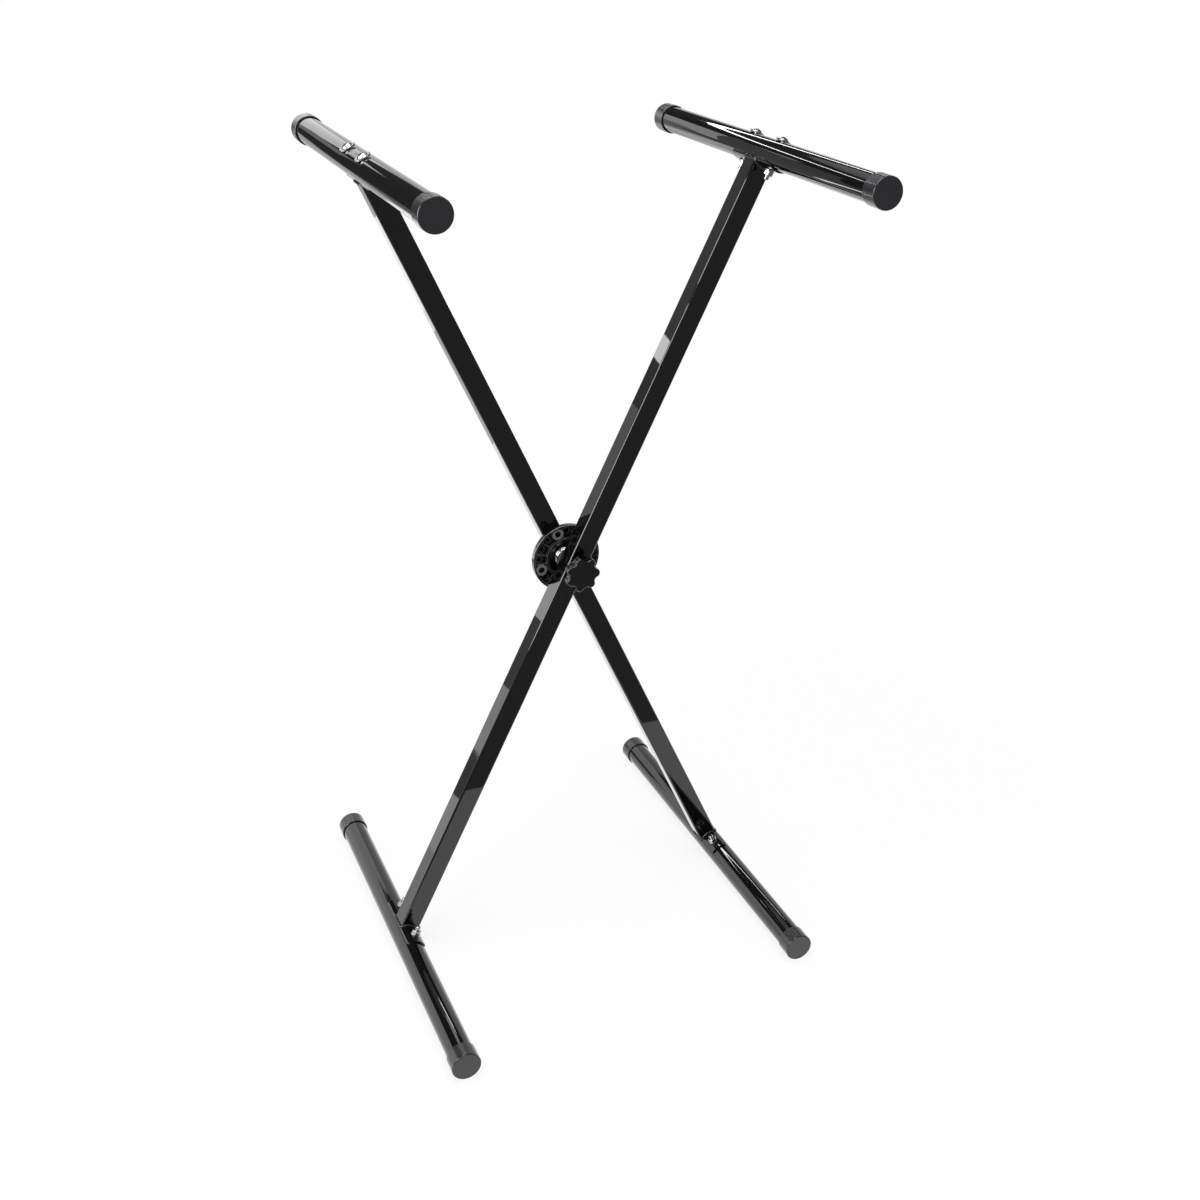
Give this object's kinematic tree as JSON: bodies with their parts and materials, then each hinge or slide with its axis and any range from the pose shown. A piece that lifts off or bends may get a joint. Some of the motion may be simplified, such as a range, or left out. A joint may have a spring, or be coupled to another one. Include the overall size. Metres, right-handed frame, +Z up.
{
  "type": "folding keyboard stand",
  "caption": "Folding single-X keyboard stand: crossed square legs on a knob-clamped locking disc, round support tubes on top and round foot tubes with end caps below.",
  "frame": {"origin": "on the floor, midway between the feet and midway between the two leg planes", "axes": "+Z up, +X from the rear frame's support tube to the front frame's, Y along the round tubes with -Y on the knob's side"},
  "size_m": [0.4944, 0.556, 1.0041],
  "materials": {
    "powder_coat": "gloss black powder coat on steel tube",
    "cap_plastic": "moulded black plastic, satin",
    "knob_plastic": "moulded black plastic, fine satin texture",
    "disc_black": "black coated casting, semi-gloss",
    "zinc_steel": "bright zinc plated steel",
    "spring_steel": "bright drawn spring wire",
    "sleeve_steel": "plain drawn steel"
  },
  "bodies": {
    "rear_frame": {"locking_disc": "disc_black", "pivot_bolt": "zinc_steel", "pivot_bolt_washer": "zinc_steel", "pivot_spring": "spring_steel", "rear_foot_bolts": "zinc_steel", "rear_foot_cap_back": "cap_plastic", "rear_foot_cap_front": "cap_plastic", "rear_foot_nut_washers": "zinc_steel", "rear_foot_nuts": "zinc_steel", "rear_foot_saddle": "powder_coat", "rear_foot_tube": "powder_coat", "rear_leg": "powder_coat", "rear_leg_sleeve": "sleeve_steel", "rear_support_bolts": "zinc_steel", "rear_support_cap_back": "cap_plastic", "rear_support_cap_front": "cap_plastic", "rear_support_head_washers": "zinc_steel", "rear_support_nut_washers": "zinc_steel", "rear_support_nuts": "zinc_steel", "rear_support_saddle": "powder_coat", "rear_support_tube": "powder_coat"},
    "thrust_washer": {"thrust_washer": "zinc_steel"},
    "front_frame": {"front_foot_bolts": "zinc_steel", "front_foot_cap_back": "cap_plastic", "front_foot_cap_front": "cap_plastic", "front_foot_nut_washers": "zinc_steel", "front_foot_nuts": "zinc_steel", "front_foot_saddle": "powder_coat", "front_foot_tube": "powder_coat", "front_leg": "powder_coat", "front_leg_sleeve": "sleeve_steel", "front_support_bolts": "zinc_steel", "front_support_cap_back": "cap_plastic", "front_support_cap_front": "cap_plastic", "front_support_head_washers": "zinc_steel", "front_support_nut_washers": "zinc_steel", "front_support_nuts": "zinc_steel", "front_support_saddle": "powder_coat", "front_support_tube": "powder_coat", "locking_pins": "zinc_steel", "spring_seat_washer": "zinc_steel"},
    "knob": {"knob": "knob_plastic", "knob_insert": "zinc_steel"}
  },
  "joints": [
    {"name": "clamp_slide", "type": "slide", "parent": "rear_frame", "child": "thrust_washer", "axis": [0, 1, 0], "range_m": [0, 0.005], "deforming": ["pivot_spring"]},
    {"name": "leg_fold", "type": "hinge", "parent": "thrust_washer", "child": "front_frame", "pos_m": [0, 0, 0.50098], "axis": [0, 1, 0], "range_deg": [-45, 67.5]},
    {"name": "knob_turn", "type": "hinge", "parent": "thrust_washer", "child": "knob", "pos_m": [0, 0, 0.50098], "axis": [0, 1, 0], "range_deg": [0, 1440]}
  ],
  "couplings": [
    {"joint": "knob_turn", "follows": "clamp_slide", "rad_per_m": 5026.5}
  ]
}
